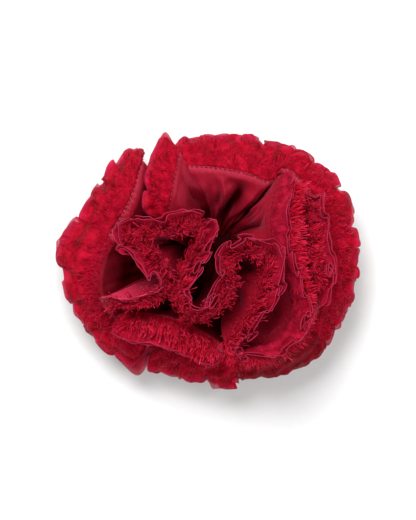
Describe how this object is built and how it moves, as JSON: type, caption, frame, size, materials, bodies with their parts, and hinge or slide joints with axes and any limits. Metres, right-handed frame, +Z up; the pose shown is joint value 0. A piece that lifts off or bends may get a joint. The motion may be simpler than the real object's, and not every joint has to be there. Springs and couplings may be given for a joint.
{
  "type": "flower hair clip",
  "caption": "Large ruffled fabric flower of satin petals with organza frills and frayed edges, sewn to a felt-backed sprung hair clip.",
  "frame": {"origin": "on the surface that the flower lies on, face up, below the middle of its outline", "axes": "+Z up, out of the flower's face; +X along the clip towards its finger tail, which is the flower's longest way; +Y across the clip"},
  "size_m": [0.1407, 0.1173, 0.057],
  "materials": {
    "satin": "crimson satin, slightly lustrous, fine plain weave",
    "organza": "thin raspberry organza, two layers, folded edges",
    "frayed_thread": "frayed crimson threads",
    "seam_thread": "dark crimson polyester sewing thread",
    "base_fabric": "stiffened dark crimson cloth disc",
    "felt": "dark maroon felt",
    "hand_thread": "dark crimson hand-sewing thread",
    "clip_steel": "nickel-plated pressed steel",
    "spring_steel": "nickel-plated spring wire",
    "grip": "clear silicone"
  },
  "bodies": {
    "flower": {"clip_ties": "hand_thread", "felt_cover": "felt", "frill_arch_left": "organza", "frill_arch_leg": "organza", "frill_arch_right": "organza", "frill_front": "organza", "frill_heart_band": "organza", "frill_heart_bend": "organza", "frill_heart_side": "organza", "frill_pocket_rim": "organza", "frill_pocket_side": "organza", "frill_pocket_tip": "organza", "frill_right_crest": "organza", "frill_right_fringe": "organza", "frill_right_pocket": "organza", "frill_right_pocket_side": "organza", "frill_ring_bottom": "organza", "frill_ring_fold": "organza", "frill_ring_left": "organza", "frill_ring_lower_left": "organza", "frill_ring_lower_right": "organza", "frill_ring_right": "organza", "frill_ring_top": "organza", "frill_ring_upper_left": "organza", "frill_ring_upper_right": "organza", "heart_fringes": "frayed_thread", "hinge_pin": "clip_steel", "petal_base": "base_fabric", "rim_stitches": "hand_thread", "ring_fringes": "frayed_thread", "satin_arch_left": "satin", "satin_arch_leg": "satin", "satin_arch_right": "satin", "satin_front": "satin", "satin_heart_band": "satin", "satin_heart_bend": "satin", "satin_heart_side": "satin", "satin_pocket_rim": "satin", "satin_pocket_side": "satin", "satin_pocket_tip": "satin", "satin_right_crest": "satin", "satin_right_fringe": "satin", "satin_right_pocket": "satin", "satin_right_pocket_side": "satin", "satin_ring_bottom": "satin", "satin_ring_fold": "satin", "satin_ring_left": "satin", "satin_ring_lower_left": "satin", "satin_ring_lower_right": "satin", "satin_ring_right": "satin", "satin_ring_top": "satin", "satin_ring_upper_left": "satin", "satin_ring_upper_right": "satin", "seam_threads": "seam_thread", "torsion_spring": "spring_steel", "under_petals": "satin", "upper_jaw": "clip_steel"},
    "lower_jaw": {"lower_jaw": "clip_steel", "grip_pad": "grip"}
  },
  "joints": [
    {"name": "jaw_hinge", "type": "hinge", "parent": "flower", "child": "lower_jaw", "pos_m": [0.015, 0.008, 0.0082], "axis": [0, -1, 0], "range_deg": [0, 24], "stiffness_Nm_per_rad": 0.06, "springref_deg": -34.38, "deforming": ["torsion_spring"]}
  ]
}
